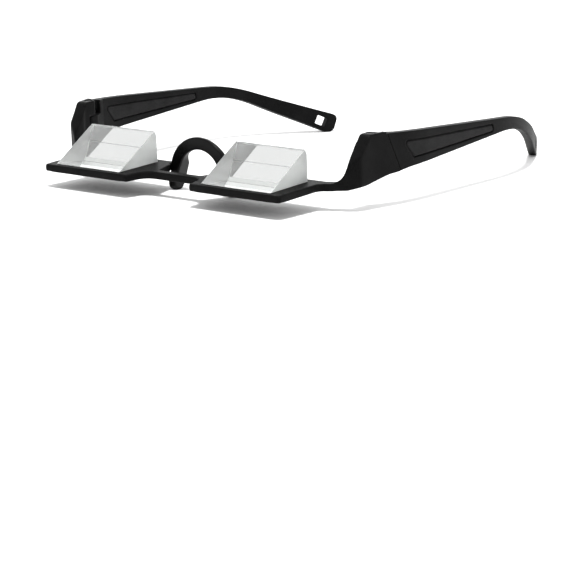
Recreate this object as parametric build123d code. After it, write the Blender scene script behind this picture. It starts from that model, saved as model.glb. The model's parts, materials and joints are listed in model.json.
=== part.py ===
from build123d import *

import os
from math import atan2, cos, degrees, radians, sin, tan

# All lengths are in millimetres. Everything is first placed from the trays: x runs to the right,
# y runs back from the prisms' front edge and z is the height over the trays' upper face.
# The last step tilts the glasses back until the nose pads and the temple tips share one floor.

# Prisms and the layers under them
prism_pitch = 67.0
prism_width = 30.0
prism_depth = 20.6
prism_angle = 30.0
prism_grind_depth = 0.9
prism_grind_height = 1.67
prism_bevel = 0.2
mirror_thickness = 0.1
bond_thickness = 0.1
mirror_inset = 0.05
bond_inset = 0.6

# Front frame: trays and bridge bar
tray_thickness = 2.7
tray_front_margin = 1.45
tray_back_margin = 4.4
tray_inner_margin = 4.5
tray_outer_margin = 4.7
tray_corner_radius = 1.0
tray_lead_in = 1.0
bar_front = 7.6
bar_depth = 3.4
bar_blend_radius = 4.5
nose_gap_front_half = 9.4
nose_gap_corner_radius = 0.9
nose_gap_widening = 1.0

# Arms and end-pieces
arm_front = 20.3
arm_back_drop = 2.6
arm_blend_radius = 3.0
elbow_x = 61.7
elbow_y = 23.8
end_piece_inner_x = 62.3
end_piece_height = 16.0
end_piece_lean_foot = 21.5
end_piece_lean = 10.0
end_piece_waist_back = 3.9
end_piece_waist_height = 7.6
end_piece_waist_radius = 35.0
end_piece_top_radius = 2.2
end_piece_foot_radius = 6.0
outer_foot_inset = 5.0
outer_foot_rise = 1.6
belly_front = 23.4
belly_knee_y = 40.0
belly_knee_z = 0.95
belly_radius = 6.0
belly_front_radius = 25.0

# Hinges
hinge_x = 64.3
hinge_y = 35.3
knuckle_radius = 1.8
knuckle_gap = 0.2
tongue_low = 4.3
tongue_high = 10.2
root_ramp_start = 2.4
root_ramp_end = 12.6
root_start = 6.3
running_gap = 0.15
lug_back = 2.0
lug_chamfer = 1.0
seam_gap = 0.1
seam_top_back = 3.6
seam_knee_back = 6.0
seam_foot_back = 9.9
seam_foot_height = 1.4
screw_radius = 0.7
screw_clearance = 0.04
screw_head_radius = 1.35
screw_head_height = 0.8
screw_head_sink = 0.2
screw_head_clearance = 0.15
screw_end_height = 1.8
screw_slot_width = 0.35
screw_slot_depth = 0.35

# Nose saddle
saddle_front = 21.2
saddle_top = 10.6
saddle_outer_radius = 13.4
saddle_inner_radius = 8.9
saddle_inner_start = 22.5
saddle_foot = 9.75
saddle_leg_flare = 1.2
saddle_leg_knee = 6.5
saddle_leg_thickness = 3.2
saddle_pad_depth = 6.2
saddle_pad_height = 5.0
saddle_pad_radius = 2.4
saddle_neck_depth = 2.4
saddle_neck_height = 4.0
saddle_crown_depth = 1.6
saddle_seat_gap = 0.05
saddle_tab_reach = 1.2
saddle_tab_height = 1.2
saddle_tab_depth = 2.6

# Temples
temple_reach = 131.0
temple_height = 14.0
temple_bow = 7.1
temple_thickness = 3.3
strap_hole_length = 4.8
strap_hole_height = 3.6
strap_hole_tilt = -25.0
groove_width = 0.45
groove_depth = 0.45
insert_corner_radius = 1.1

# How far every cut runs past what it cuts
overrun = 20.0

# Corners of the temple's outline from the side: shares of temple_reach behind the hinge and of
# temple_height over the trays, then each corner's radius as a share of temple_reach
temple_side_shares = [
    (-0.030, 1.150, 0),
    (0.300, 0.893, 1.50),
    (0.656, 0.580, 0.55),
    (1.001, -0.705, 0.017),
    (0.983, -1.245, 0.018),
    (0.648, 0.347, 0.42),
    (0.112, 0.147, 0.30),
    (-0.030, -0.005, 0),
]
# Corners of the outer face of end-piece and temple from above: shares of temple_reach behind the
# hinge and of temple_bow outside it, then each corner's radius as a share of temple_reach
outer_plan_shares = [
    (-0.066, 0.282, 0),
    (-0.018, 0.394, 0.23),
    (0.116, 0.958, 0.76),
    (0.687, 0.980, 0.69),
    (1.066, -2.650, 0),
]
# Insert corners and strap hole centre from the side, as the same shares as the temple's corners
insert_shares = [(0.085, 0.828), (0.126, 0.358), (0.506, 0.386), (0.500, 0.592)]
strap_hole_shares = (0.952, -0.812)

# Values worked out from the sizes above
prism_centre = prism_pitch / 2
prism_near = prism_centre - prism_width / 2
prism_far = prism_centre + prism_width / 2
prism_base = mirror_thickness + bond_thickness
prism_top_depth = prism_depth - prism_grind_depth
prism_top_height = prism_top_depth * tan(radians(prism_angle))
tray_inner = prism_near - tray_inner_margin
tray_outer = prism_far + tray_outer_margin
tray_back = prism_depth + tray_back_margin
bar_back = bar_front + bar_depth
saddle_seat_x = saddle_outer_radius + saddle_seat_gap
skin_inner = hinge_x + knuckle_radius + knuckle_gap
beyond = hinge_x + temple_bow + overrun
seam_foot_y = hinge_y + seam_foot_back
screw_bore_radius = screw_radius + screw_clearance
head_top = end_piece_height - screw_head_sink
head_seat = head_top - screw_head_height


def cornered_face(corners):
    """A flat face from corners given as two places and a radius."""
    points = [(a, b) for a, b, radius in corners]
    radii = [radius for a, b, radius in corners]
    return make_face(FilletPolyline(*points, radius=radii, close=True))


def box_between(low, high):
    """A box given by two opposite corners."""
    size = [b - a for a, b in zip(low, high)]
    return Pos(*low) * Box(*size, align=(Align.MIN, Align.MIN, Align.MIN))


def post(radius, low, high):
    """An upright round post on the right hinge's axis."""
    base = (Align.CENTER, Align.CENTER, Align.MIN)
    return Pos(hinge_x, hinge_y, low) * Cylinder(radius, high - low, align=base)


def side_slab(face, x_from, x_to):
    """A face drawn in (y, z), carried from one x to another."""
    return extrude(Plane.YZ.offset(x_from) * face, amount=x_to - x_from)


def front_slab(face, y_from, y_to):
    """A face drawn in (x, z), carried from one y to another."""
    return extrude(Plane.XZ.offset(-y_to) * face, amount=y_to - y_from)


def upright_slab(points, low, high):
    """An outline drawn in (x, y), carried from one height to another."""
    return extrude(Pos(0, 0, low) * make_face(Polyline(*points, close=True)), amount=high - low)


def seam_slab(shift, x_from, x_to):
    """Everything ahead of the bent seam between end-piece and temple, moved back by a shift."""
    top = (hinge_y + seam_top_back + shift, end_piece_height)
    knee = (hinge_y + seam_knee_back + shift, tongue_high)
    foot = (seam_foot_y + shift, seam_foot_height)
    above = (2 * top[0] - knee[0], 2 * top[1] - knee[1])
    below = (2 * foot[0] - knee[0], 2 * foot[1] - knee[1])
    points = [(-overrun, above[1]), above, knee, foot, below, (-overrun, below[1])]
    return side_slab(make_face(Polyline(*points, close=True)), x_from, x_to)


def outer_plan_point(shares):
    """A corner of the outer face from above, from its shares."""
    return (hinge_x + shares[1] * temple_bow, hinge_y + shares[0] * temple_reach)


def temple_point(shares):
    """A point of the temple from the side, from its shares."""
    return (hinge_y + shares[0] * temple_reach, shares[1] * temple_height)


def inboard_space(inset):
    """All the space inboard of the outer face of end-piece and temple, drawn in by an inset."""
    corners = [(*outer_plan_point(shares), shares[2] * temple_reach) for shares in outer_plan_shares]
    front_x = corners[0][0]
    back_y = corners[-1][1]
    inboard_corners = [(-overrun, back_y, 0), (-overrun, -overrun, 0), (front_x, -overrun, 0)]
    face = cornered_face(corners + inboard_corners)
    if inset:
        face = offset(face, amount=-inset, kind=Kind.INTERSECTION)
    low = -temple_height - overrun
    return extrude(Pos(0, 0, low) * face, amount=end_piece_height + overrun - low)


def make_prism():
    """A 30-60-90 prism with its thin edge ground off and its edges lightly bevelled."""
    profile = [
        (0, prism_base),
        (prism_depth, prism_base),
        (prism_depth, prism_base + prism_top_height - prism_grind_height),
        (prism_top_depth, prism_base + prism_top_height),
    ]
    body = side_slab(make_face(Polyline(*profile, close=True)), prism_near, prism_far)
    return chamfer(body.edges(), prism_bevel)


def make_layer(low, thickness, inset):
    """A thin sheet under the prism, drawn in from the prism's edges."""
    near = (prism_near + inset, inset, low)
    far = (prism_far - inset, prism_depth - inset, low + thickness)
    return box_between(near, far)


def frame_plan():
    """Tray, half the bridge bar, arm and end-piece from above."""
    outer_x, outer_y = outer_plan_point(outer_plan_shares[0])
    slope = (outer_y - elbow_y) / (outer_x - elbow_x)
    back = seam_foot_y + overrun
    corners = [
        (0, bar_front, 0),
        (tray_inner - tray_lead_in, bar_front, bar_blend_radius),
        (tray_inner, -tray_front_margin, tray_corner_radius),
        (tray_outer, -tray_front_margin, tray_corner_radius),
        (tray_outer, arm_front, arm_blend_radius),
        (elbow_x, elbow_y, 0),
        (beyond, elbow_y + (beyond - elbow_x) * slope, 0),
        (beyond, back, 0),
        (end_piece_inner_x, back, 0),
        (end_piece_inner_x, outer_y + arm_back_drop, arm_blend_radius),
        (tray_outer, tray_back, 0),
        (saddle_seat_x, tray_back, 0),
        (saddle_seat_x, saddle_front, 0),
        (saddle_seat_x - nose_gap_widening, saddle_front - nose_gap_widening, 0),
        (nose_gap_front_half, bar_back, nose_gap_corner_radius),
        (0, bar_back, 0),
    ]
    return cornered_face(corners)


def frame_front_view():
    """Tray, arm and end-piece from the front: flat, then up in one concave sweep."""
    foot_x = outer_plan_point(outer_plan_shares[0])[0] - outer_foot_inset
    slope = outer_foot_rise / outer_foot_inset
    top = end_piece_height + overrun
    corners = [
        (-overrun, -tray_thickness, 0),
        (foot_x, -tray_thickness, belly_radius),
        (beyond, -tray_thickness + (beyond - foot_x) * slope, 0),
        (beyond, top, 0),
        (end_piece_inner_x, top, 0),
        (elbow_x, end_piece_foot_radius, 0),
        (elbow_x, 0, end_piece_foot_radius),
        (-overrun, 0, 0),
    ]
    return cornered_face(corners)


def frame_side_view():
    """Tray and end-piece from the side: the leaning, bulging front and the rising underside."""
    back = seam_foot_y + overrun
    corners = [
        (-overrun, 0, 0),
        (end_piece_lean_foot, 0, 0),
        (end_piece_lean_foot + end_piece_waist_back, end_piece_waist_height, end_piece_waist_radius),
        (end_piece_lean_foot + end_piece_lean, end_piece_height, end_piece_top_radius),
        (back, end_piece_height, 0),
        (back, seam_foot_height, 0),
        (seam_foot_y, seam_foot_height, 0),
        (belly_knee_y, belly_knee_z, belly_radius),
        (belly_front, -tray_thickness, belly_front_radius),
        (-overrun, -tray_thickness, 0),
    ]
    return cornered_face(corners)


def make_half_frame(outer_space, saddle_tab):
    """The right half of the front frame, with its hinge pocket, lugs, screw bore and tab slot."""
    low = -tray_thickness
    high = end_piece_height
    back = seam_foot_y + overrun
    solid = extrude(Pos(0, 0, low) * frame_plan(), amount=high - low)
    solid = solid & front_slab(frame_front_view(), -overrun, back)
    solid = solid & side_slab(frame_side_view(), 0, beyond)
    solid = solid & outer_space & seam_slab(0, 0, beyond)
    pocket_front = hinge_y - knuckle_radius - knuckle_gap
    pocket_low = tongue_low - running_gap
    pocket_high = tongue_high + running_gap
    pocket = box_between((tray_outer, pocket_front, pocket_low), (skin_inner, back, pocket_high))
    lug_end = hinge_y + lug_back
    behind_lugs = [
        (tray_outer, lug_end - lug_chamfer),
        (end_piece_inner_x, lug_end - lug_chamfer),
        (end_piece_inner_x + lug_chamfer, lug_end),
        (skin_inner, lug_end),
        (skin_inner, back),
        (tray_outer, back),
    ]
    solid = solid - pocket - upright_slab(behind_lugs, low, high)
    bore = post(screw_bore_radius, screw_end_height, high)
    recess = post(screw_head_radius + screw_head_clearance, head_seat, high + overrun)
    return solid - bore - recess - saddle_tab


def make_screw():
    """The hinge screw: a plain shaft and a slotted cheese head, sunk in the upper lug."""
    shaft = post(screw_radius, screw_end_height, head_seat)
    head = post(screw_head_radius, head_seat, head_top)
    half = screw_slot_width / 2
    low = (hinge_x - overrun, hinge_y - half, head_top - screw_slot_depth)
    slot = box_between(low, (hinge_x + overrun, hinge_y + half, head_top + overrun))
    return shaft + head - slot


def make_saddle_tab():
    """The tab that holds one leg of the saddle in its tray's edge."""
    y = (saddle_front + tray_back - saddle_tab_depth) / 2
    z = (-tray_thickness - saddle_tab_height) / 2
    near = (saddle_seat_x - saddle_leg_thickness / 2, y, z)
    far = (saddle_seat_x + saddle_tab_reach, y + saddle_tab_depth, z + saddle_tab_height)
    return box_between(near, far)


def make_half_saddle():
    """The right half of the nose saddle: a round arch that runs down into a flared leg and pad."""
    centre = saddle_top - saddle_outer_radius
    leg_x = saddle_outer_radius + saddle_leg_flare
    inner_x = leg_x - saddle_leg_thickness
    low = -saddle_foot
    outer = CenterArc((0, centre), saddle_outer_radius, 0, 90)
    inner = CenterArc((0, centre), saddle_inner_radius, saddle_inner_start, 90 - saddle_inner_start)
    outer_leg = Polyline(outer @ 0, (leg_x, -saddle_leg_knee), (leg_x, low))
    inner_leg = Polyline((inner_x, low), (inner_x, -saddle_leg_knee), inner @ 0)
    sole = Line(outer_leg @ 1, inner_leg @ 0)
    crown = Line(inner @ 1, outer @ 1)
    face = make_face(outer + outer_leg + sole + inner_leg + inner + crown)
    front_view = front_slab(face, 0, saddle_front + overrun)
    back = saddle_front + saddle_pad_depth
    corners = [
        (saddle_front, saddle_top + overrun, 0),
        (saddle_front, low, saddle_pad_radius),
        (back - saddle_pad_radius / 2, low, saddle_pad_radius),
        (back, -saddle_pad_height, saddle_pad_radius),
        (back - saddle_pad_radius / 3, 0, saddle_pad_radius),
        (saddle_front + saddle_neck_depth, saddle_neck_height, saddle_pad_radius),
        (saddle_front + saddle_crown_depth, saddle_top, 0),
        (saddle_front + saddle_crown_depth, saddle_top + overrun, 0),
    ]
    return front_view & side_slab(cornered_face(corners), 0, leg_x)


def temple_side_slab():
    """The temple's outline from the side, carried across the right half."""
    corners = [(*temple_point(shares), shares[2] * temple_reach) for shares in temple_side_shares]
    return side_slab(cornered_face(corners), 0, beyond)


def make_temple_blank(outer_space):
    """The temple as one strip, bowed in plan and shaped from the side, with nothing cut from it."""
    return (temple_side_slab() & outer_space) - inboard_space(temple_thickness)


def insert_window(inset):
    """The insert's outline, drawn in by an inset and carried right through the temple."""
    points = [temple_point(shares) for shares in insert_shares]
    face = make_face(FilletPolyline(*points, radius=insert_corner_radius, close=True))
    if inset:
        face = offset(face, amount=-inset)
    return side_slab(face, hinge_x - overrun, beyond)


def make_insert(blank):
    """The panel in the temple: flush on both faces, with a tongue that fills the window's middle."""
    web = inboard_space(groove_depth) - inboard_space(temple_thickness - groove_depth)
    return (blank & insert_window(groove_width)) + (web & insert_window(0))


def make_temple(blank, outer_space):
    """The temple: strip, ramped root, hinge tongue and knuckle, less its window and strap hole."""
    high = end_piece_height + overrun
    low = -overrun
    tongue_inner = hinge_x - knuckle_radius
    tongue_outer = skin_inner - running_gap
    ramp_start = hinge_y + root_ramp_start
    ramp_end = hinge_y + root_ramp_end
    ramp_x = outer_plan_point(outer_plan_shares[2])[0] - temple_thickness
    root_plan = [
        (tongue_inner, ramp_start),
        (ramp_x, ramp_end),
        (beyond, ramp_end),
        (beyond, ramp_start),
    ]
    root = upright_slab(root_plan, low, high) & temple_side_slab() & outer_space
    solid = (blank + root) - seam_slab(seam_gap, 0, beyond)
    for sweep_low, sweep_high in ((low, tongue_low), (tongue_high, high)):
        inboard = box_between((0, 0, sweep_low), (skin_inner, hinge_y + overrun, sweep_high))
        solid = solid - (post(root_start, sweep_low, sweep_high) & inboard)
    ramp_slope = (ramp_end - ramp_start) / (ramp_x - tongue_inner)
    tongue_plan = [
        (tongue_inner, hinge_y),
        (tongue_inner, ramp_start),
        (tongue_outer, ramp_start + (tongue_outer - tongue_inner) * ramp_slope),
        (tongue_outer, hinge_y),
    ]
    tongue = upright_slab(tongue_plan, tongue_low, tongue_high)
    knuckle = post(knuckle_radius, tongue_low, tongue_high)
    bore = post(screw_bore_radius, low, high)
    return solid + tongue + knuckle - bore - insert_window(0) - strap_hole()


def strap_hole():
    """The four-sided hole near the temple's tip, square to the tail's face."""
    bend_x, bend_y = outer_plan_point(outer_plan_shares[-2])
    end_x, end_y = outer_plan_point(outer_plan_shares[-1])
    turn = degrees(atan2(bend_x - end_x, end_y - bend_y))
    hole_y, hole_z = temple_point(strap_hole_shares)
    hole_x = bend_x - (hole_y - bend_y) * tan(radians(turn)) - temple_thickness / 2 / cos(radians(turn))
    hole = Box(overrun, strap_hole_length, strap_hole_height)
    return Pos(hole_x, hole_y, hole_z) * Rot(0, 0, turn) * Rot(strap_hole_tilt, 0, 0) * hole


def mirrored(shape):
    """The same piece on the left side."""
    return mirror(shape, about=Plane.YZ)


def build_pieces():
    """Every piece by its name, placed from the trays."""
    outer_space = inboard_space(0)
    blank = make_temple_blank(outer_space)
    saddle_tab = make_saddle_tab()
    half_frame = make_half_frame(outer_space, saddle_tab)
    half_saddle = make_half_saddle() + saddle_tab
    pieces = {
        "front_frame": half_frame + mirrored(half_frame),
        "nose_saddle": half_saddle + mirrored(half_saddle),
    }
    paired = {
        "prism": make_prism(),
        "prism_mirror": make_layer(bond_thickness, mirror_thickness, mirror_inset),
        "prism_bond": make_layer(0, bond_thickness, bond_inset),
        "temple_insert": make_insert(blank),
        "temple": make_temple(blank, outer_space),
        "hinge_screw": make_screw(),
    }
    for name, shape in paired.items():
        pieces[name + "_right"] = shape
        pieces[name + "_left"] = mirrored(shape)
    return pieces


def resting_pitch(pieces):
    """The backward tilt at which nose pads and temple tips touch the same floor."""
    pitch = 0
    for attempt in range(4):
        pads = (Rot(pitch, 0, 0) * pieces["nose_saddle"]).bounding_box().min.Z
        tips = (Rot(pitch, 0, 0) * pieces["temple_right"]).bounding_box().min.Z
        pitch = pitch + degrees(atan2(pads - tips, temple_reach + hinge_y - saddle_front))
    return pitch


def main():
    pieces = build_pieces()
    pitch = resting_pitch(pieces)
    tilted = {name: Rot(pitch, 0, 0) * shape for name, shape in pieces.items()}
    boxes = [shape.bounding_box() for shape in tilted.values()]
    front = min(box.min.Y for box in boxes)
    back = max(box.max.Y for box in boxes)
    width = 2 * max(box.max.X for box in boxes)
    floor = min(box.min.Z for box in boxes)
    height = max(box.max.Z for box in boxes) - floor
    shift = Pos(0, -(front + back) / 2, -floor)
    os.makedirs("parts", exist_ok=True)
    for name, shape in tilted.items():
        export_step(shift * shape, "parts/" + name + ".step")
    pin = shift * Rot(pitch, 0, 0) * Pos(hinge_x, hinge_y, (tongue_low + tongue_high) / 2)
    print("resting pitch in degrees", round(pitch, 4))
    print("shift", tuple(shift.position))
    print("overall size", (width, back - front, height))
    print("right hinge at", tuple(pin.position))
    print("upright axis", (0, -sin(radians(pitch)), cos(radians(pitch))))


main()
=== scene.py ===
import json
import math

import bmesh
import bpy
import numpy as np
from mathutils import Matrix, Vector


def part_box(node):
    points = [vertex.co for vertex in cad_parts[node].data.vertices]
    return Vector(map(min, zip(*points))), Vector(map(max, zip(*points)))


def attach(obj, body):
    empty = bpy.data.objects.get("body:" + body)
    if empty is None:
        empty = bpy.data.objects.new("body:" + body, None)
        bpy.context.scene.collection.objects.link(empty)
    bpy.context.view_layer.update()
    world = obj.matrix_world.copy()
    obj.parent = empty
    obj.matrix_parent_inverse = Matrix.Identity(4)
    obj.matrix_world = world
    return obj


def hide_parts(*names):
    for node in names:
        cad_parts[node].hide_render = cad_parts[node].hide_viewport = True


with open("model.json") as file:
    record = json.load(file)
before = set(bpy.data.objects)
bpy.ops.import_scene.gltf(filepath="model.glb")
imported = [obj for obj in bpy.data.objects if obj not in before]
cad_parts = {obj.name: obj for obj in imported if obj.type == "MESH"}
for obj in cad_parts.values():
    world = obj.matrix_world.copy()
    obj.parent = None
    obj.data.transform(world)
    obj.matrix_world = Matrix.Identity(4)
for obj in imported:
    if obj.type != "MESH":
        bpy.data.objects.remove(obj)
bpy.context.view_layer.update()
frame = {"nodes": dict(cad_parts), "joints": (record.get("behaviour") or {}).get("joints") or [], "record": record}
scene = bpy.context.scene
mm = 0.001  # sizes and places of the object are in millimetres, made metres by this
print("frame loaded with", len(frame["nodes"]), "nodes")


class Wire:  # an output socket; sums and products of wires add Math nodes to their tree
    def __init__(self, tree, socket):
        self.tree = tree
        self.socket = socket

    def math(self, operation, first, second):
        return self.tree.add("ShaderNodeMath", {"operation": operation}, {0: first, 1: second})

    def __add__(self, other):
        return self.math("ADD", self, other)

    def __rsub__(self, other):
        return self.math("SUBTRACT", other, self)

    def __mul__(self, other):
        return self.math("MULTIPLY", self, other)

    __radd__ = __add__
    __rmul__ = __mul__


class Tree:  # a node tree of a material or of the world
    def __init__(self, owner):
        owner.use_nodes = True
        self.nodes = owner.node_tree.nodes
        self.links = owner.node_tree.links
        self.nodes.clear()

    def add(self, kind, settings=None, sockets=None, out=0):
        made = self.nodes.new(kind)
        for key, value in (settings or {}).items():
            setattr(made, key, value)
        for key, value in (sockets or {}).items():
            if isinstance(value, Wire):
                self.links.new(value.socket, made.inputs[key])
            else:
                made.inputs[key].default_value = value
        return Wire(self, made.outputs[out]) if made.outputs else None

    def objectPlace(self):  # the place on the object, in metres
        return self.add("ShaderNodeTexCoord", out="Object")

    def mix(self, share, low, high):  # a blend of two colours, by the node's colour sockets
        return self.add(
            "ShaderNodeMix",
            {"data_type": "RGBA"},
            {"Factor": share, 6: low, 7: high},
            out=2,
        )

    def noise(self, place, size, detail, rough=0.5):
        sockets = {"Vector": place, "Scale": 1 / size, "Detail": detail, "Roughness": rough}
        return self.add("ShaderNodeTexNoise", None, sockets)

    def step(self, value, low, high):  # 0 below low, 1 above high, smooth between
        return self.add(
            "ShaderNodeMapRange",
            {"interpolation_type": "SMOOTHSTEP"},
            {"Value": value, "From Min": low, "From Max": high},
        )

    def bump(self, strength, distance, height):
        sockets = {"Strength": strength, "Distance": distance, "Height": height}
        return self.add("ShaderNodeBump", None, sockets)

    def shade(self, sockets):  # the finished surface
        surface = self.add("ShaderNodeBsdfPrincipled", None, sockets)
        self.add("ShaderNodeOutputMaterial", None, {"Surface": surface})


def grey(level, tint=(1.0, 1.0, 1.0)):
    return (level * tint[0], level * tint[1], level * tint[2], 1.0)


def newMaterial(name):
    material = bpy.data.materials.new(name)
    return material, Tree(material)


# Shared by both moulded plastics: sizes and heights are shares of a pebble of the grain.
grainShares = {
    "pebbleEdge": 0.6, "pebbleHeight": 0.7, "pebbleInSpeckle": 0.3,
    "fineSize": 0.6, "fineHeight": 0.6, "fineRough": 0.6, "fineInSpeckle": 0.7,
    "speckle": (0.42, 0.68), "rubbed": (0.35, 0.75), "rub": 0.5, "depth": 0.25, "cloudRough": 0.06,
}


# Moulded plastic: two colours mixed by a fine noise, roughness lifted on the grain's peaks,
# height = pebbles (1 - distance to the nearest cell) + a finer noise.
def mouldedPlastic(name, s, shares):
    material, tree = newMaterial(name)
    place = tree.objectPlace()
    cells = tree.add(
        "ShaderNodeTexVoronoi",
        {"feature": "SMOOTH_F1"},
        {"Vector": place, "Scale": 1 / s["grain"], "Smoothness": shares["pebbleEdge"]},
    )
    fine = tree.noise(place, s["grain"] * shares["fineSize"], detail=3.0, rough=shares["fineRough"])
    broad = tree.noise(place, s["cloud"], detail=2.0)
    pebbles = 1 - cells
    height = pebbles * shares["pebbleHeight"] + fine * shares["fineHeight"]
    mottle = fine * shares["fineInSpeckle"] + pebbles * shares["pebbleInSpeckle"]
    speckle = tree.step(mottle, *shares["speckle"])
    light = grey(s["light"], s["tint"])
    grained = tree.mix(speckle, grey(s["dark"]), light)
    rough = speckle * s["roughStep"] + broad * shares["cloudRough"] + s["rough"]
    tree.shade({
        "Base Color": tree.mix(tree.step(broad, *shares["rubbed"]) * shares["rub"], grained, light),
        "Roughness": rough,
        "Specular IOR Level": s["specular"],
        "Normal": tree.bump(s["bump"], s["grain"] * shares["depth"], height),
    })
    return material


framePlastic = mouldedPlastic("framePlastic", {
    "dark": 0.001, "light": 0.006, "tint": (1.0, 1.0, 1.02), "grain": 0.32 * mm,
    "cloud": 9 * mm, "bump": 0.5, "rough": 0.4, "roughStep": 0.12, "specular": 0.05,
}, grainShares)
insertPlastic = mouldedPlastic("insertPlastic", {
    "dark": 0.001, "light": 0.016, "tint": (1.0, 1.0, 1.02), "grain": 0.42 * mm,
    "cloud": 7 * mm, "bump": 0.9, "rough": 0.42, "roughStep": 0.12, "specular": 0.07,
}, grainShares)


# Saddle rubber: near-black, satin, with a soft cloudy roughness and a faint silky skin,
# height = a fine noise + a broad one.
def saddleRubber(s):
    material, tree = newMaterial("saddleRubber")
    place = tree.objectPlace()
    broad = tree.noise(place, s["cloud"], detail=3.0)
    fine = tree.noise(place, s["skin"], detail=2.0)
    tree.shade({
        "Base Color": tree.mix(broad, grey(s["dark"]), grey(s["light"])),
        "Roughness": broad * s["roughStep"] + s["rough"],
        "Specular IOR Level": s["specular"],
        "Normal": tree.bump(s["bump"], s["skin"] * s["skinDepth"], fine + broad),
    })
    return material


saddleFinish = saddleRubber({
    "dark": 0.0005, "light": 0.0015, "cloud": 5 * mm, "skin": 0.25 * mm, "skinDepth": 0.3,
    "bump": 0.15, "rough": 0.22, "roughStep": 0.14, "specular": 0.12,
})


# Prism glass: clear, with a trace of green in the colour and a few faint wiping marks in its gloss.
def prismGlass(s):
    material, tree = newMaterial("prismGlass")
    marks = tree.noise(tree.objectPlace(), s["marks"], detail=4.0, rough=s["marksRough"])
    tree.shade({
        "Base Color": tree.mix(marks, grey(s["low"], s["tint"]), grey(s["high"], s["tint"])),
        "Roughness": tree.step(marks, *s["wiped"]) * s["haze"],
        "IOR": s["ior"],
        "Transmission Weight": 1.0,
    })
    return material


# Ground glass: the prism's sides and bevels, milky and rough, height = a fine grit; seen from
# inside the glass its colour goes most of the way to the low one, a painted shade.
def groundGlass(s):
    material, tree = newMaterial("groundGlass")
    place = tree.objectPlace()
    grit = tree.noise(place, s["grit"], detail=3.0)
    cloud = tree.noise(place, s["cloud"], detail=2.0)
    low = grey(s["low"], s["tint"])
    mottle = grit * s["gritShare"] + cloud * (1 - s["gritShare"])
    milk = tree.mix(mottle, low, grey(s["high"], s["tint"]))
    inside = tree.add("ShaderNodeNewGeometry", out="Backfacing")
    tree.shade({
        # painted shade: seen from inside the glass, the ground faces are drawn darker, towards the low colour
        "Base Color": tree.mix(inside * s["paintedShadeInside"], milk, low),
        "Roughness": grit * s["roughStep"] + s["rough"],
        "IOR": s["ior"],
        "Transmission Weight": s["clear"],
        "Normal": tree.bump(s["bump"], s["grit"] * s["gritDepth"], grit),
    })
    return material


clearFinish = prismGlass({
    "tint": (0.985, 1.0, 0.99), "low": 0.905, "high": 0.93, "marks": 6 * mm, "marksRough": 0.65,
    "wiped": (0.6, 0.9), "haze": 0.03, "ior": 1.52,
})
groundFinish = groundGlass({
    "tint": (0.97, 1.0, 0.98), "low": 0.48, "high": 0.95, "grit": 0.12 * mm, "gritShare": 0.6,
    "gritDepth": 0.3, "cloud": 5 * mm, "bump": 0.3, "rough": 0.3, "roughStep": 0.15, "clear": 0.7,
    "ior": 1.52, "paintedShadeInside": 0.9,
})


# Mirror coating: bright metal with a slight cloud in its gloss.
def mirrorCoating(s):
    material, tree = newMaterial("mirrorCoating")
    cloud = tree.noise(tree.objectPlace(), s["cloud"], detail=3.0)
    tree.shade({
        "Base Color": tree.mix(cloud, grey(s["low"]), grey(s["high"])),
        "Metallic": 1.0,
        "Roughness": cloud * s["roughStep"],
    })
    return material


coatingFinish = mirrorCoating({"cloud": 8 * mm, "low": 0.9, "high": 0.94, "roughStep": 0.02})


# Adhesive pad: dark, slightly mottled, dull.
def adhesive(s):
    material, tree = newMaterial("adhesive")
    mottle = tree.noise(tree.objectPlace(), s["mottle"], detail=3.0)
    tree.shade({
        "Base Color": tree.mix(mottle, grey(s["low"]), grey(s["high"])),
        "Roughness": mottle * s["roughStep"] + s["rough"],
    })
    return material


adhesiveFinish = adhesive({
    "mottle": 1.5 * mm, "low": 0.03, "high": 0.07, "rough": 0.5, "roughStep": 0.2,
})


# Turned steel: dark metal, height = fine rings round the screw's axis plus a little grit.
def turnedSteel(name, centre, s):
    material, tree = newMaterial(name)
    place = tree.objectPlace()
    local = tree.add(
        "ShaderNodeMapping",
        {"vector_type": "POINT"},
        {"Vector": place, "Location": [-c for c in centre]},
    )
    rings = tree.add(
        "ShaderNodeTexWave",
        {"wave_type": "RINGS", "rings_direction": "Z"},
        {"Vector": local, "Scale": 1 / s["ring"], "Distortion": s["waver"]},
        out=1,  # the wave's value, not its colour
    )
    grit = tree.noise(place, s["grit"], detail=2.0)
    tree.shade({
        "Base Color": tree.mix(grit, grey(s["low"]), grey(s["high"])),
        "Metallic": 1.0,
        "Roughness": rings * s["roughStep"] + grit * s["roughStep"] + s["rough"],
        "Normal": tree.bump(s["bump"], s["depth"], rings + grit * s["gritShare"]),
    })
    return material


print("finishes ready")


# The trays' own frame: x to the right, y back, z over the trays' upper face. The right hinge's
# place in it is known, so the hinge of the loaded frame gives its lean and shift.
trayFrame = {"hinge": (64.3 * mm, 35.3 * mm, 7.25 * mm)}
pin = next(j for j in frame["joints"] if j["name"] == "right_hinge")
lean = math.atan2(-pin["axis"][1], pin["axis"][2])


def leaning(angle):  # a turn about x
    c, s = math.cos(angle), math.sin(angle)
    return np.array([(1.0, 0.0, 0.0), (0.0, c, -s), (0.0, s, c)])


tilt = leaning(lean)
shift = np.array(pin["pos_m"]) - tilt @ np.array(trayFrame["hinge"])


def toTrays(points):  # row frame to the trays' frame
    return (points - shift) @ tilt


def toRow(points):  # the trays' frame to the row frame
    return points @ tilt.T + shift


def bodyOf(node):
    bodies = frame["record"]["behaviour"]["bodies"]
    return next(body for body in bodies if node in bodies[body])


def fit(obj, node):  # hands a finished piece over in place of its CAD node
    scene.collection.objects.link(obj)
    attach(obj, bodyOf(node))
    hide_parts(node)


def pointsOf(mesh):
    points = np.empty(len(mesh.vertices) * 3)
    mesh.vertices.foreach_get("co", points)
    return points.reshape(-1, 3)


def endsOf(mesh):  # both points of every edge
    ends = np.empty(len(mesh.edges) * 2, int)
    mesh.edges.foreach_get("vertices", ends)
    return ends.reshape(-1, 2)


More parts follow.
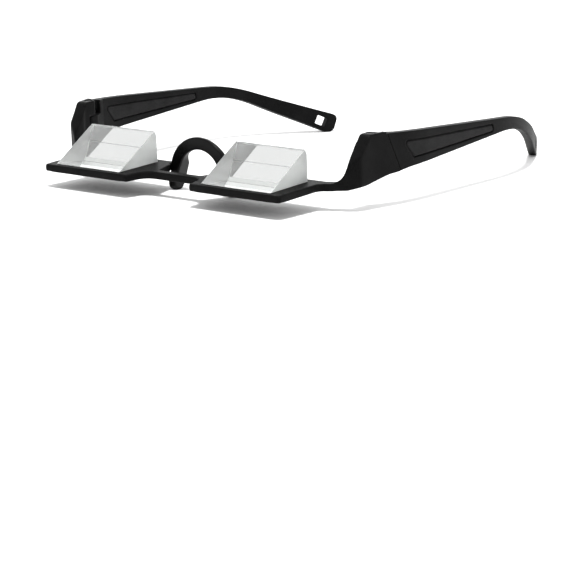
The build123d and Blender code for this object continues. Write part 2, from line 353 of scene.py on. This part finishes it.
def weighEdges(mesh, weight):  # each edge's share of the Bevel's width
    mesh.attributes.new("bevel_weight_edge", "FLOAT", "EDGE").data.foreach_set("value", weight)


# Shared by all mouldings: points nearer than "merge" are one, faces that turn by less than "flat"
# degrees are one, and edges that turn by more than "sharp" degrees are rolled in "steps". "pull" is
# the most that a point moves in one pass, as a share of the way to its neighbours' middle.
mouldingSettings = {"merge": 0.002 * mm, "flat": 0.6, "sharp": 25, "steps": 3, "pull": 0.5}


# The node's loose triangles merged into one closed mesh in the trays' frame, where every sharp
# edge has a weight: the share of the roll for its place.
def rolledCopy(node, shareAt=None):
    bm = bmesh.new()
    bm.from_mesh(frame["nodes"][node].data)
    bmesh.ops.remove_doubles(bm, verts=bm.verts, dist=mouldingSettings["merge"])
    flat = math.radians(mouldingSettings["flat"])
    bmesh.ops.dissolve_limit(bm, angle_limit=flat, verts=bm.verts, edges=bm.edges)
    bend = np.array([edge.calc_face_angle(0.0) for edge in bm.edges])
    mesh = bpy.data.meshes.new(node + "Copy")
    bm.to_mesh(mesh)
    bm.free()
    points = toTrays(pointsOf(mesh))
    mesh.vertices.foreach_set("co", points.ravel())
    weight = np.where(bend > math.radians(mouldingSettings["sharp"]), 1.0, 0.0)
    if shareAt is not None:
        weight = weight * shareAt(points[endsOf(mesh)].mean(1) / mm)
    weighEdges(mesh, weight)
    return mesh


# The rolled mesh on an even grid of small quads, every point laid back on the rolled surface.
def gridded(mesh, s):
    rolled = bpy.data.objects.new("rolled", mesh)
    obj = bpy.data.objects.new("gridded", mesh)
    for each in (rolled, obj):
        scene.collection.objects.link(each)
        roll = each.modifiers.new("rolledEdge", "BEVEL")
        roll.width = s["roll"]
        roll.segments = mouldingSettings["steps"]
        roll.limit_method = "WEIGHT"
        roll.use_clamp_overlap = False
    grid = obj.modifiers.new("grid", "REMESH")
    grid.mode = "VOXEL"
    grid.voxel_size = s["voxel"]
    wrap = obj.modifiers.new("wrap", "SHRINKWRAP")
    wrap.target = rolled
    made = bpy.data.meshes.new_from_object(obj.evaluated_get(bpy.context.evaluated_depsgraph_get()))
    bpy.data.objects.remove(obj)
    bpy.data.objects.remove(rolled)
    return made


# Moulded form: every point moves towards the middle of its neighbours, pass after pass, by a share
# that the softness for its place gives, so hard edges roll over and soft ones flow together.
def mouldedForm(node, name, finish, s, softnessAt=None, shareAt=None):
    made = gridded(rolledCopy(node, shareAt), s)
    points = pointsOf(made)
    count = len(points)
    start, end = endsOf(made).T
    ends = np.concatenate([start, end])
    others = np.concatenate([end, start])
    neighbours = np.bincount(ends, minlength=count)[:, None]
    reach = np.full(count, s["passes"])
    if softnessAt is not None:
        reach = s["passes"] * softnessAt(points / mm)
    for done in range(math.ceil(reach.max())):
        share = np.clip(reach - done, 0.0, 1.0) * mouldingSettings["pull"]
        total = np.stack([np.bincount(ends, points[others, k], count) for k in range(3)], 1)
        points = points + (total / neighbours - points) * share[:, None]
    made.vertices.foreach_set("co", toRow(points).ravel())
    made.polygons.foreach_set("use_smooth", np.ones(len(made.polygons), bool))
    made.name = name
    made.materials.clear()
    made.materials.append(finish)
    made.update()
    fit(bpy.data.objects.new(name, made), node)
    print(name, "has", count, "points")


def ramp(value, low, high):  # 0 below low, 1 above high, smooth between
    t = np.clip((value - low) / (high - low), 0.0, 1.0)
    return t * t * (3 - 2 * t)


# The seam between end-piece and temple, in millimetres of the trays' frame: how far back it lies
# at each height. Both its edges are rolled less and stay crisp within these distances of it.
seamSettings = {
    "heights": (1.4, 10.2, 16.0), "backs": (45.2, 41.3, 38.9),
    "rollShare": 0.5, "rollReach": (0.3, 0.9), "softShare": 0.05, "softReach": (0.2, 1.6),
}


def behindSeam(points):
    return points[:, 1] - np.interp(points[:, 2], seamSettings["heights"], seamSettings["backs"])


def seamRoll(distance):
    low = seamSettings["rollShare"]
    return low + (1 - low) * ramp(distance, *seamSettings["rollReach"])


def seamSoftness(distance):
    low = seamSettings["softShare"]
    return low + (1 - low) * ramp(distance, *seamSettings["softReach"])


# Frame: softer over the end-pieces' front and belly and at the trays' front corners, crisp at the
# seam. Places are in millimetres of the trays' frame; "tray" is a tray's middle and half width
# in x and its front edge in y.
frameSettings = {
    "voxel": 0.29 * mm, "roll": 0.4 * mm, "passes": 2.0, "soft": 6.0,
    "endPiece": (55.0, 60.0), "frontEnds": (29.0, 32.5),
    "bellyTop": (0.5, 2.5), "bellyEnds": (41.0, 43.5),
    "tray": (33.6, 19.6, -1.45), "cornerReach": (2.0, 4.0),
}


def frameRoll(points):
    return seamRoll(-behindSeam(points))


def frameSoftness(points):
    s = frameSettings
    x, y, z = np.abs(points[:, 0]), points[:, 1], points[:, 2]
    middle, half, front = s["tray"]
    ahead = 1 - ramp(y, *s["frontEnds"])
    belly = (1 - ramp(z, *s["bellyTop"])) * (1 - ramp(y, *s["bellyEnds"]))
    corner = 1 - ramp(np.hypot(np.abs(x - middle) - half, y - front), *s["cornerReach"])
    soft = np.maximum(ramp(x, *s["endPiece"]) * np.maximum(ahead, belly), corner)
    return seamSoftness(-behindSeam(points)) * (1 + s["soft"] * soft)


# Temples: crisp at the seam and at the strap hole, rounder along the tail. Places are in
# millimetres of the trays' frame.
templeSettings = {
    "voxel": 0.21 * mm, "roll": 0.4 * mm, "passes": 2.0,
    "hole": (51.4, 160.0, -11.4), "holeReach": (3.3, 4.3), "holeRoll": 0.6, "holeSoft": 0.75,
    "tail": (105.0, 135.0), "tailSoft": 1.5,
}


def nearHole(points):  # 1 at the strap hole of either temple, 0 away from it
    folded = np.column_stack([np.abs(points[:, 0]), points[:, 1:]])
    away = np.abs(folded - templeSettings["hole"]).max(1)
    return 1 - ramp(away, *templeSettings["holeReach"])


def templeRoll(points):
    return seamRoll(behindSeam(points)) * (1 - templeSettings["holeRoll"] * nearHole(points))


def templeSoftness(points):
    s = templeSettings
    tail = s["tailSoft"] * ramp(points[:, 1], *s["tail"])
    soft = seamSoftness(behindSeam(points)) + tail
    return soft * (1 - s["holeSoft"] * nearHole(points))


saddleSettings = {"voxel": 0.22 * mm, "roll": 0.5 * mm, "passes": 4.0}
panelSettings = {"voxel": 0.16 * mm, "roll": 0.25 * mm, "passes": 3.0}
screwSettings = {
    "voxel": 0.08 * mm, "roll": 0.1 * mm, "passes": 2.0,
    "ring": 0.12 * mm, "waver": 0.4, "grit": 0.1 * mm, "gritShare": 0.5, "depth": 0.02 * mm,
    "bump": 0.3, "low": 0.02, "high": 0.06, "rough": 0.4, "roughStep": 0.1,
}


def makeScrew(side, s):
    node = "hinge_screw_" + side
    low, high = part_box(node)
    centre = [(a + b) / 2 for a, b in zip(low, high)]
    steel = turnedSteel(side + "ScrewSteel", centre, s)
    mouldedForm(node, side + "HingeScrew", steel, s)


def finishLayer(node, finish):  # a thin CAD layer keeps its mesh
    layer = frame["nodes"][node].data
    layer.materials.clear()
    layer.materials.append(finish)


mouldedForm(
    "front_frame", "frameMoulding", framePlastic, frameSettings, frameSoftness, frameRoll
)
mouldedForm("nose_saddle", "saddleArch", saddleFinish, saddleSettings)
for side in ("left", "right"):
    arm = side + "TempleArm"
    mouldedForm("temple_" + side, arm, framePlastic, templeSettings, templeSoftness, templeRoll)
    mouldedForm("temple_insert_" + side, side + "TemplePanel", insertPlastic, panelSettings)
    makeScrew(side, screwSettings)
    finishLayer("prism_mirror_" + side, coatingFinish)
    finishLayer("prism_bond_" + side, adhesiveFinish)
print("mouldings formed")


# Prism: "shares" are the four long edges' shares of the bevel, from the base's front edge to its
# back edge, the tip's foot and the tip's top. The tip is ground off by the two last sizes.
prismSettings = {
    "lift": 0.03 * mm, "ground": 0.2 * mm, "shares": (0.2, 0.45, 0.45, 0.45),
    "grindDepth": 0.9 * mm, "grindHeight": 1.67 * mm,
}
prismFinishes = {"clear": clearFinish, "ground": groundFinish, "coated": coatingFinish}
finishNumber = {name: number for number, name in enumerate(prismFinishes)}


# A four-cornered profile carried from one side face to the other. The base is coated, the slanted
# and the upright face are clear, the tip and the sides are ground.
def prismMesh(name, low, high, s):
    profile = np.array([
        (low[1], low[2] + s["lift"]),
        (high[1], low[2] + s["lift"]),
        (high[1], high[2] - s["grindHeight"]),
        (high[1] - s["grindDepth"], high[2]),
    ])
    count = len(profile)
    along = np.repeat([low[0], high[0]], count)
    corners = toRow(np.column_stack([along, np.tile(profile, (2, 1))]))
    around = np.arange(count)
    after = (around + 1) % count
    walls = np.column_stack([around, after, after + count, around + count])
    sides = [around[::-1].tolist(), (around + count).tolist()]
    mesh = bpy.data.meshes.new(name)
    mesh.from_pydata(corners.tolist(), [], walls.tolist() + sides)
    for finish in prismFinishes.values():
        mesh.materials.append(finish)
    faces = ["coated", "clear", "ground", "clear", "ground", "ground"]
    mesh.polygons.foreach_set("material_index", [finishNumber[name] for name in faces])
    return mesh


def makePrism(side, s):
    node = "prism_" + side
    points = toTrays(pointsOf(frame["nodes"][node].data))
    mesh = prismMesh(side + "Prism", points.min(0), points.max(0), s)
    ends = endsOf(mesh) % len(s["shares"])  # each end's corner of the profile
    weight = np.ones(len(ends))
    weight[(ends < 2).all(1)] = 0.0  # the base's side edges, between its two corners, stay sharp
    for corner, share in enumerate(s["shares"]):
        weight[(ends == corner).all(1)] = share
    weighEdges(mesh, weight)
    obj = bpy.data.objects.new(side + "Prism", mesh)
    fit(obj, node)
    grind = obj.modifiers.new("groundEdge", "BEVEL")
    grind.width = s["ground"]
    grind.segments = 1
    grind.limit_method = "WEIGHT"
    grind.material = finishNumber["ground"]


for side in ("left", "right"):
    makePrism(side, prismSettings)
print("prisms ready")


# Camera: degrees and metres, placed from the trays as they lie at a lean of "fitLean" degrees, so
# it keeps its view of them whatever the resting tilt.
cameraSettings = {
    "azimuth": 37.68, "elevation": 12.82, "distance": 0.730596, "lens": 133.01, "sensor": 36.0,
    "across": 0.044227, "down": 0.037564, "fitLean": 3.0, "nearest": 0.01, "farthest": 50.0,
}


def standing(x, y, z, spot):  # the matrix of an object with these axes at a spot
    matrix = np.eye(4)
    matrix[:3, :3] = np.column_stack([x, y, z])
    matrix[:3, 3] = spot
    return Matrix(matrix.tolist())


def makeCamera(s):
    a, e = math.radians(s["azimuth"]), math.radians(s["elevation"])
    back = np.array([math.sin(a) * math.cos(e), -math.cos(a) * math.cos(e), math.sin(e)])
    right = np.array([math.cos(a), math.sin(a), 0.0])
    up = np.cross(back, right)
    spot = right * s["across"] - up * s["down"] + back * s["distance"]
    sway = leaning(lean - math.radians(s["fitLean"]))
    camera = bpy.data.objects.new("camera", bpy.data.cameras.new("camera"))
    camera.data.lens = s["lens"]
    camera.data.sensor_width = s["sensor"]
    camera.data.clip_start = s["nearest"]
    camera.data.clip_end = s["farthest"]
    camera.matrix_world = standing(sway @ right, sway @ up, sway @ back, sway @ spot + shift)
    scene.collection.objects.link(camera)
    scene.camera = camera
    return back


back = makeCamera(cameraSettings)

# Floor and lamps: in metres of the row frame.
floorSettings = {
    "half": 4.0, "low": 0.86, "high": 0.9, "cloud": 0.3, "rough": 0.9, "specular": 0.1,
}


def makeFloor(s):
    mesh = bpy.data.meshes.new("floor")
    h = s["half"]
    mesh.from_pydata([(-h, -h, 0), (h, -h, 0), (h, h, 0), (-h, h, 0)], [], [(0, 1, 2, 3)])
    material, tree = newMaterial("paleFloor")
    cloud = tree.noise(tree.objectPlace(), s["cloud"], detail=2.0)
    tree.shade({
        "Base Color": tree.mix(cloud, grey(s["low"]), grey(s["high"])),
        "Roughness": s["rough"],
        "Specular IOR Level": s["specular"],
    })
    mesh.materials.append(material)
    floor = bpy.data.objects.new("floor", mesh)
    scene.collection.objects.link(floor)


makeFloor(floorSettings)

lightSettings = {
    "overhead": {"place": (0.24, -0.32, 1.1), "size": 0.15, "power": 14.0},
    "side": {"place": (1.5, 0.3, 0.5), "size": 0.8, "power": 4.0},
}


def makeLight(name, s):  # a square lamp that faces the origin
    lamp = bpy.data.lights.new(name, "AREA")
    lamp.size = s["size"]
    lamp.energy = s["power"]
    obj = bpy.data.objects.new(name, lamp)
    spot = np.array(s["place"])
    z = spot / np.linalg.norm(spot)
    x = np.cross((0.0, 1.0, 0.0), z)
    x = x / np.linalg.norm(x)
    obj.matrix_world = standing(x, np.cross(z, x), z, spot)
    scene.collection.objects.link(obj)


for name, s in lightSettings.items():
    makeLight(name, s)

# Room light by direction: "near" and "opposite" are cosines with the way to the camera. It is dim
# round the camera, brightest behind the object, and has the level "shown" where it is seen itself.
worldSettings = {
    "bright": 1.05, "dim": 0.3, "near": (0.72, 0.93), "rear": 1.0, "opposite": (0.35, 0.95),
    "shown": 1.0,
}


def makeWorld(s):
    world = bpy.data.worlds.new("softRoom")
    tree = Tree(world)
    way = tree.add("ShaderNodeTexCoord")
    towards = tree.add(
        "ShaderNodeVectorMath",
        {"operation": "DOT_PRODUCT"},
        {0: way, 1: tuple(back)},
        out="Value",
    )
    dark = tree.step(towards, *s["near"])
    rear = tree.step(0.0 - towards, *s["opposite"])
    level = s["bright"] - dark * (s["bright"] - s["dim"]) + rear * s["rear"]
    seen = tree.add("ShaderNodeLightPath")
    strength = level * (1 - seen) + seen * s["shown"]
    glow = tree.add("ShaderNodeBackground", None, {"Color": grey(1.0), "Strength": strength})
    tree.add("ShaderNodeOutputWorld", None, {"Surface": glow})
    scene.world = world


makeWorld(worldSettings)
scene.view_settings.view_transform = "Standard"
scene.cycles.use_denoising = True
print("camera, floor and light ready")
